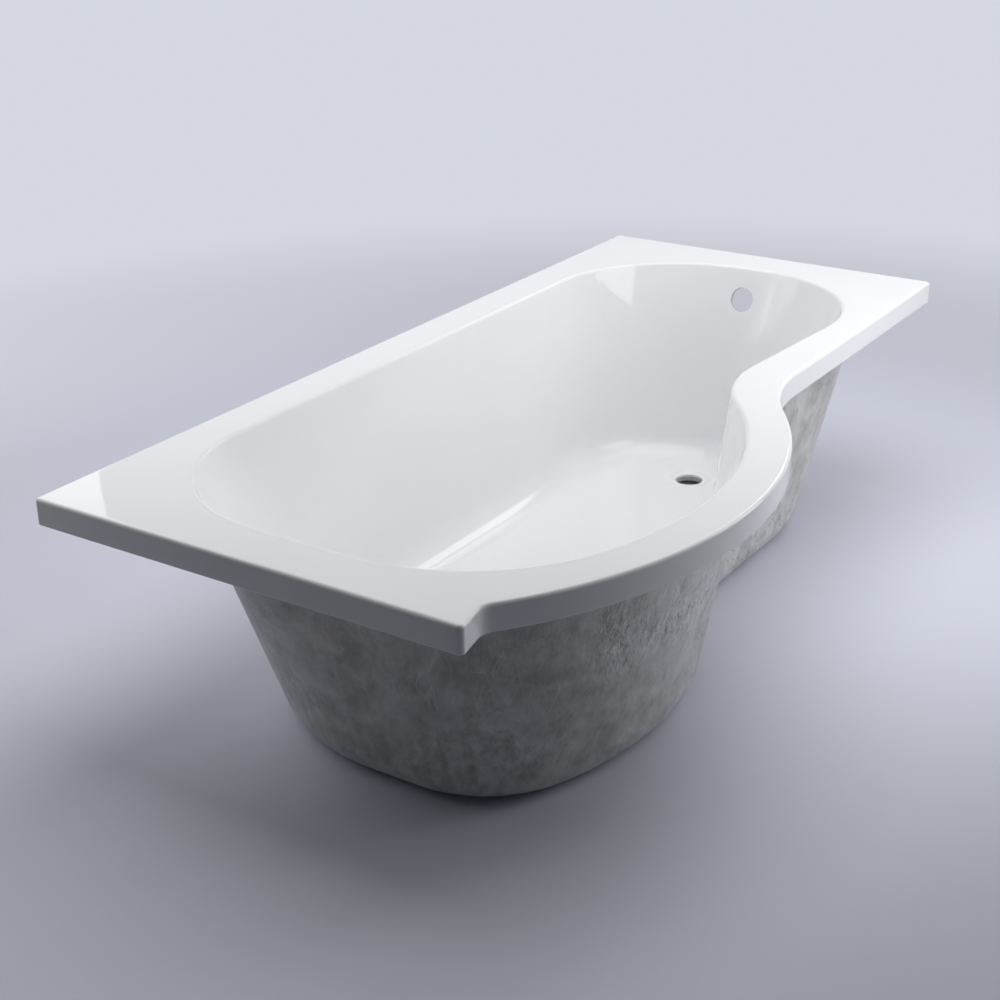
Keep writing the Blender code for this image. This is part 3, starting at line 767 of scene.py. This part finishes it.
def glass_fibre():
    """Grey resin laminate: cloudy, with paler wisps of fibre, pits with painted shade in them and a
    brushed surface.
    """
    made, tree, shader, place = new_material("glass_fibre_resin")
    leaning = add_node(tree, "ShaderNodeVectorRotate", {
        "Vector": place, "Angle": FIBRE_LEAN, "Axis": FIBRE_LEAN_AXIS}).outputs[0]
    cloud = place_effect(tree, "mottling", place, {
        "Cloud Scale": 5.0, "Mottle Scale": 28.0, "Mottle Share": 0.55})
    broad = place_effect(tree, "strands", place, {
        "Stretch": (24.0, 24.0, 3.0), "Wander": 0.30, "Thickness": 0.10,
        "Patch Scale": 3.0, "Patch Start": 0.40})
    fibres = place_effect(tree, "strands", leaning, {
        "Stretch": (58.0, 58.0, 5.0), "Wander": 0.06, "Thickness": 0.020, "Ragged": 0.0,
        "Patch Scale": 6.0, "Patch Start": 0.54})
    brushed = place_effect(tree, "strands", leaning, {
        "Stretch": (210.0, 210.0, 30.0), "Wander": 0.20, "Thickness": 0.06, "Ragged": 2.0,
        "Patch Scale": 9.0, "Patch Start": 0.42})
    grit = noise(tree, place, 64.0, 3.0)["Fac"]
    rough_patch = remap(tree, noise(tree, place, 6.0, 2.0)["Fac"], ROUGH_PATCH_LEVELS)
    lump = calculate(tree, "MULTIPLY", remap(tree, grit, LUMP_LEVELS), rough_patch)
    shaded_pit = calculate(tree, "MULTIPLY", remap(tree, grit, SHADED_PIT_LEVELS, (1.0, 0.0)), rough_patch)
    base = blend(tree, cloud["Tone"], *LAMINATE_TONES)
    base = paint(tree, base, broad["Strand"], 0.30, WISP_TONE)
    base = paint(tree, base, fibres["Strand"], 0.55, FIBRE_TONE)
    base = paint(tree, base, brushed["Strand"], 0.28, BRUSHED_TONE)
    base = paint(tree, base, lump, 0.50, BRUSHED_TONE)
    # Pits painted darker: painted shade in the recesses that the bump below also sinks
    base = paint(tree, base, shaded_pit, 0.35, PIT_SHADE_TONE)
    level = calculate(tree, "SUBTRACT", lump, shaded_pit)
    set_inputs(tree, shader, {
        "Base Color": base,
        "Roughness": remap(tree, cloud["Relief"], MAIN_LEVELS, LAMINATE_ROUGHNESS),
        "Normal": bumps(tree, (cloud["Relief"], 0.004, 0.45), (fibres["Strand"], 0.0008, 0.6),
                        (brushed["Fibre"], 0.0012, 0.7), (level, 0.0020, 0.9))})
    return made


def batten_timber(name, stretch):
    """Sawn softwood with its grain along one axis."""
    made, tree, shader, place = new_material(name)
    grain = place_effect(tree, "strands", place, {
        "Stretch": stretch, "Wander": 0.03, "Thickness": 0.09,
        "Patch Scale": 8.0, "Patch Start": 0.25})
    cast = place_effect(tree, "mottling", place, {
        "Cloud Scale": 3.0, "Mottle Scale": 60.0, "Mottle Share": 0.3})
    base = blend(tree, cast["Tone"], *TIMBER_TONES)
    set_inputs(tree, shader, {
        "Base Color": paint(tree, base, grain["Strand"], 0.6, GRAIN_TONE),
        "Roughness": remap(tree, grain["Fibre"], MAIN_LEVELS, TIMBER_ROUGHNESS),
        "Normal": bumps(tree, (grain["Fibre"], 0.0006, 0.6))})
    return made


def particle_board():
    """Pressed wood chips of mixed tones."""
    made, tree, shader, place = new_material("base_board_wood")
    cast = place_effect(tree, "mottling", place, {
        "Cloud Scale": 6.0, "Mottle Scale": 90.0, "Mottle Share": 0.5})
    chips = add_node(tree, "ShaderNodeTexVoronoi", {
        "Vector": place, "Scale": 210.0, "Randomness": 1.0}).outputs["Color"]
    chip = add_node(tree, "ShaderNodeSeparateColor", {0: chips}).outputs[0]
    base = blend(tree, chip, *CHIP_TONES)
    set_inputs(tree, shader, {
        "Base Color": paint(tree, base, cast["Tone"], 0.25, CHIP_SHADE),
        "Roughness": remap(tree, cast["Relief"], MAIN_LEVELS, BOARD_ROUGHNESS),
        "Normal": bumps(tree, (chip, 0.0004, 0.4))})
    return made


# User settings

class BathSizes(bpy.types.PropertyGroup):
    """Sizes of the moulding that a user would change."""

    lip_depth: bpy.props.FloatProperty(
        name="Lip depth", description="Height of the downturned lip", default=0.042,
        min=0.02, max=0.08, subtype="DISTANCE", unit="LENGTH")
    lip_edge: bpy.props.FloatProperty(
        name="Lip edge", description="Radius where the deck turns down into the lip", default=0.006,
        min=0.001, max=0.015, subtype="DISTANCE", unit="LENGTH")
    bowl_edge: bpy.props.FloatProperty(
        name="Bowl edge", description="Radius where the deck turns into the bowl", default=0.007,
        min=0.001, max=0.020, subtype="DISTANCE", unit="LENGTH")
    floor_round: bpy.props.FloatProperty(
        name="Floor round", description="Radius between the walls and the floor of the bowl",
        default=0.065, min=0.02, max=0.10, subtype="DISTANCE", unit="LENGTH")


class StudioSettings(bpy.types.PropertyGroup):
    """Colours of the floor and the backdrop, and the even light."""

    paper: bpy.props.FloatVectorProperty(
        name="Paper", description="Colour of the floor round the tub", size=3,
        default=(0.64, 0.655, 0.755), min=0, max=1, subtype="COLOR")
    backdrop: bpy.props.FloatVectorProperty(
        name="Backdrop", description="Colour that the floor fades to in the distance", size=3,
        default=(0.66, 0.68, 0.75), min=0, max=1, subtype="COLOR")
    ambient: bpy.props.FloatProperty(
        name="Ambient", description="Strength of the even light from all sides", default=0.005,
        min=0, max=1, subtype="FACTOR")


# Operators

class BATH_OT_shell(bpy.types.Operator):
    """Model the white acrylic shell"""

    bl_idname = "bath.shell"
    bl_label = "Acrylic shell"

    def execute(self, context):
        sizes = context.scene.bath_sizes
        back_floor = FLOOR_Z - SHELL_BACK
        back_round = sizes.floor_round + SHELL_BACK
        tub = bowl_rings(SHELL_BACK, sizes.bowl_edge, back_round, back_floor, True)[::-1]
        tub += self.lip(sizes)
        tub += bowl_rings(0, sizes.bowl_edge, sizes.floor_round, FLOOR_Z, True)
        obj = pull_rings("moulded_shell", tub, self.dish(back_floor))
        hand_over(obj, ["acrylic_shell"], white_acrylic())
        return {"FINISHED"}

    def lip(self, sizes):
        """Rings from the back of the deck, down round the foot of the lip and up to the deck."""
        foot = FOOT_ROUND
        lip_foot = HEIGHT - sizes.lip_depth
        rings = [rim_ring(ACRYLIC + SUPPORT, HEIGHT - ACRYLIC), rim_ring(ACRYLIC, HEIGHT - ACRYLIC),
                 rim_ring(ACRYLIC, lip_foot + foot + SUPPORT)]
        for across, up in quarter(FOOT_STEPS):
            rings.append(rim_ring(ACRYLIC - foot * across, lip_foot + foot * (1 - up)))
        for across, up in quarter(FOOT_STEPS)[::-1]:
            rings.append(rim_ring(foot * across, lip_foot + foot * (1 - up)))
        rings.append(rim_ring(0, lip_foot + foot + SUPPORT))
        rings.append(rim_ring(0, HEIGHT - sizes.lip_edge - SUPPORT))
        for across, up in quarter(LIP_STEPS):
            rings.append(rim_ring(sizes.lip_edge * across, HEIGHT - sizes.lip_edge * (1 - up)))
        rings.append(rim_ring(sizes.lip_edge + SUPPORT, HEIGHT))
        return rings

    def dish(self, back_floor):
        """Rings from the floor into the dish, through the waste hole and out along the back."""
        rings = [waste_ring(DISH_RADIUS + SUPPORT, FLOOR_Z, True)]
        for step in range(DISH_STEPS + 1):
            share = step / DISH_STEPS
            drop = DISH_DEPTH * share * share * (3 - 2 * share)
            radius = DISH_RADIUS + (DISH_FLOOR_RADIUS - DISH_RADIUS) * share
            rings.append(waste_ring(radius, FLOOR_Z - drop, True))
        hole_top = FLOOR_Z - DISH_DEPTH
        for across, up in quarter(HOLE_EDGE_STEPS):
            radius = WASTE_RADIUS + HOLE_EDGE * (1 - up)
            rings.append(waste_ring(radius, hole_top - HOLE_EDGE * across, True))
        rings.append(waste_ring(WASTE_RADIUS, hole_top - ACRYLIC, True))
        rings.append(waste_ring(DISH_FLOOR_RADIUS, back_floor - DISH_DEPTH, True))
        rings.append(waste_ring(DISH_RADIUS, back_floor, True))
        return rings


class BATH_OT_laminate(bpy.types.Operator):
    """Model the two glass-fibre coats"""

    bl_idname = "bath.laminate"
    bl_label = "Glass-fibre coats"

    def execute(self, context):
        sizes = context.scene.bath_sizes
        finish = glass_fibre()
        self.first_coat(sizes, finish)
        self.body(sizes, finish)
        return {"FINISHED"}

    def first_coat(self, sizes, finish):
        """The coat on the back of the shell, which shows under the deck."""
        face_floor = FLOOR_Z - COAT_FACE
        back_floor = FLOOR_Z - COAT_BACK
        face_round = sizes.floor_round + COAT_FACE
        back_round = sizes.floor_round + COAT_BACK
        tub = bowl_rings(COAT_BACK, sizes.bowl_edge, back_round, back_floor, False)[::-1]
        tub.append(rim_ring(COAT_FACE, HEIGHT - COAT_BACK))
        tub.append(rim_ring(COAT_FACE, HEIGHT - COAT_FACE))
        tub += bowl_rings(COAT_FACE, sizes.bowl_edge, face_round, face_floor, True)
        dish = [waste_ring(DISH_RADIUS, face_floor, True),
                waste_ring(DISH_FLOOR_RADIUS, face_floor - DISH_DEPTH, True),
                waste_ring(WASTE_RADIUS, face_floor - DISH_DEPTH, True),
                waste_ring(WASTE_RADIUS, back_floor - DISH_DEPTH, False),
                waste_ring(DISH_FLOOR_RADIUS, back_floor - DISH_DEPTH, False),
                waste_ring(DISH_RADIUS, back_floor, False)]
        obj = pull_rings("laminate_first_coat", tub, dish)
        hand_over(obj, ["glass_fibre_inner_coat"], finish)

    def body(self, sizes, finish):
        """The visible grey body, with the pocket for the base board."""
        edge = sizes.bowl_edge
        inside_round = sizes.floor_round + BODY_FACE
        outside = bowl_rings(BODY_BACK, edge, BODY_ROUND, 0, False, BODY_TAP_FRONT_CORNER)
        outside = outside[EDGE_STEPS + 1:]
        inside = bowl_rings(BODY_FACE, edge, inside_round, BOARD_TOP, False)[1:-1]
        tub = outside[::-1] + inside
        margin = BOARD_MARGIN - BOND_GAP
        inward = [station[1] for station in bowl_stations(TAP_FRONT_CORNER)]
        for height in (BOARD_TOP, BASE_COAT):
            tub.append([Vector((point.x + way.x * margin, point.y + way.y * margin, height))
                        for point, way in zip(inside[-1], inward)])
        hub = BOARD_HOLE_RADIUS - BOND_GAP
        core = [waste_ring(hub, BASE_COAT, False), waste_ring(hub, BOARD_TOP, False),
                waste_ring(DISH_RADIUS, BOARD_TOP, False),
                waste_ring(DISH_FLOOR_RADIUS, BOARD_TOP - DISH_DEPTH, False),
                waste_ring(WASTE_RADIUS, BOARD_TOP - DISH_DEPTH, False),
                waste_ring(WASTE_RADIUS, RECESS_DEPTH, False),
                waste_ring(RECESS_RADIUS, RECESS_DEPTH, False),
                waste_ring(RECESS_RADIUS, 0, False)]
        obj = pull_rings("laminate_body", tub, core)
        self.hand_lay(obj, len(outside))
        hand_over(obj, ["glass_fibre_outer_coat"], finish)

    def hand_lay(self, obj, count):
        """Shallow waves in the outer wall, as hand-laid matting leaves them."""
        mark = obj.data.attributes["ring"].data
        wall = obj.vertex_groups.new(name="outer_wall")
        for vertex in obj.data.vertices:
            if mark[vertex.index].value < count:
                low = min(max((vertex.co.z - WAVE_FOOT) / WAVE_FOOT_FADE, 0), 1)
                high = min(max((WAVE_TOP - vertex.co.z) / WAVE_TOP_FADE, 0), 1)
                wall.add([vertex.index], low * high, "REPLACE")
        waves = bpy.data.textures.new("hand_lay", "CLOUDS")
        waves.noise_scale = WAVE_SIZE
        waves.noise_depth = 1
        apply_modifier(obj, "DISPLACE", texture=waves, texture_coords="LOCAL", strength=WAVE_HEIGHT,
                       mid_level=0.5, vertex_group="outer_wall")


class BATH_OT_battens(bpy.types.Operator):
    """Finish the timber battens and the base board"""

    bl_idname = "bath.battens"
    bl_label = "Battens and board"

    def execute(self, context):
        along = batten_timber("batten_timber_along", GRAIN_ALONG)
        across = batten_timber("batten_timber_across", GRAIN_ACROSS)
        finishes = {"base_board": particle_board(), "rim_batten_wall": along,
                    "rim_batten_front": along, "rim_batten_bow": along,
                    "rim_batten_near_end": across, "rim_batten_tap_end": across}
        for name, finish in finishes.items():
            NODES[name].data.materials.clear()
            NODES[name].data.materials.append(finish)
        return {"FINISHED"}


class BATH_OT_studio(bpy.types.Operator):
    """Set up the floor, the lights and the camera"""

    bl_idname = "bath.studio"
    bl_label = "Studio"

    def execute(self, context):
        scene = context.scene
        settings = scene.studio_settings
        deselect_all()
        bpy.ops.mesh.primitive_plane_add(size=PAPER_SIZE, location=(0, 0, -PAPER_GAP))
        floor = name_piece("studio_floor")
        floor.data.materials.append(studio_paper(settings.paper, settings.backdrop))
        self.surround(scene, settings)
        for lamp in LAMPS:
            self.hang(scene, *lamp)
        scene.camera = self.camera(scene)
        scene.view_settings.view_transform = "Standard"
        return {"FINISHED"}

    def surround(self, scene, settings):
        """Backdrop colour for what is looked at, and a weak even light for the rest."""
        world = bpy.data.worlds.new("studio")
        scene.world = world
        world.use_nodes = True
        tree = world.node_tree
        strength = remap(tree, seen_directly(tree), (0.0, 1.0), (settings.ambient, 1.0))
        set_inputs(tree, tree.nodes["Background"], {0: (*settings.backdrop, 1), 1: strength})

    def hang(self, scene, name, place, target, width, height, power, mirrored):
        """Add one rectangular lamp that points at a place, and say if gloss mirrors it."""
        data = bpy.data.lights.new(name, "AREA")
        data.shape = "RECTANGLE"
        data.size = width
        data.size_y = height
        data.energy = power
        lamp = bpy.data.objects.new(name, data)
        scene.collection.objects.link(lamp)
        way = Vector(target) - Vector(place)
        lamp.location = place
        lamp.rotation_euler = way.to_track_quat("-Z", "Y").to_euler()
        lamp.visible_camera = False
        lamp.visible_glossy = mirrored

    def camera(self, scene):
        """Camera at the photo's viewpoint, turned by its yaw, pitch and roll."""
        camera = bpy.data.objects.new("camera", bpy.data.cameras.new("camera"))
        scene.collection.objects.link(camera)
        camera.data.sensor_width = SENSOR_WIDTH
        camera.data.sensor_fit = "HORIZONTAL"
        camera.data.lens = FOCAL_PIXELS / FRAME_PIXELS * SENSOR_WIDTH
        yaw, pitch, roll = map(math.radians, CAMERA_TURN)
        level = math.cos(pitch)
        forward = Vector((level * math.cos(yaw), level * math.sin(yaw), -math.sin(pitch)))
        right = forward.cross(Vector((0, 0, 1))).normalized()
        above = right.cross(forward)
        tilted_right = right * math.cos(roll) + above * math.sin(roll)
        tilted_up = above * math.cos(roll) - right * math.sin(roll)
        axes = Matrix((tilted_right, tilted_up, -forward)).transposed()
        camera.matrix_world = Matrix.Translation(CAMERA_PLACE) @ axes.to_4x4()
        return camera


class BATH_PT_panel(bpy.types.Panel):
    """Lists the settings and the pieces in the sidebar"""

    bl_idname = "BATH_PT_panel"
    bl_label = "Shower bath"
    bl_space_type = "VIEW_3D"
    bl_region_type = "UI"
    bl_category = "Shower bath"

    def draw(self, context):
        layout = self.layout
        for group in (context.scene.bath_sizes, context.scene.studio_settings):
            box = layout.box()
            for key in group.__annotations__:
                box.prop(group, key)
        for operator in OPERATORS:
            layout.operator(operator.bl_idname)


OPERATORS = (BATH_OT_shell, BATH_OT_laminate, BATH_OT_battens, BATH_OT_studio)
CLASSES = (BathSizes, StudioSettings, *OPERATORS, BATH_PT_panel)


def register():
    """Register the classes and hang the settings on the scene."""
    for item in CLASSES:
        bpy.utils.register_class(item)
    bpy.types.Scene.bath_sizes = bpy.props.PointerProperty(type=BathSizes)
    bpy.types.Scene.studio_settings = bpy.props.PointerProperty(type=StudioSettings)


def unregister():
    """Undo what register did."""
    del bpy.types.Scene.bath_sizes
    del bpy.types.Scene.studio_settings
    for item in reversed(CLASSES):
        bpy.utils.unregister_class(item)


def main():
    """Build everything."""
    register()
    mottling_effect()
    strands_effect()
    bpy.ops.bath.shell()
    bpy.ops.bath.laminate()
    bpy.ops.bath.battens()
    bpy.ops.bath.studio()


if __name__ == "__main__":
    main()
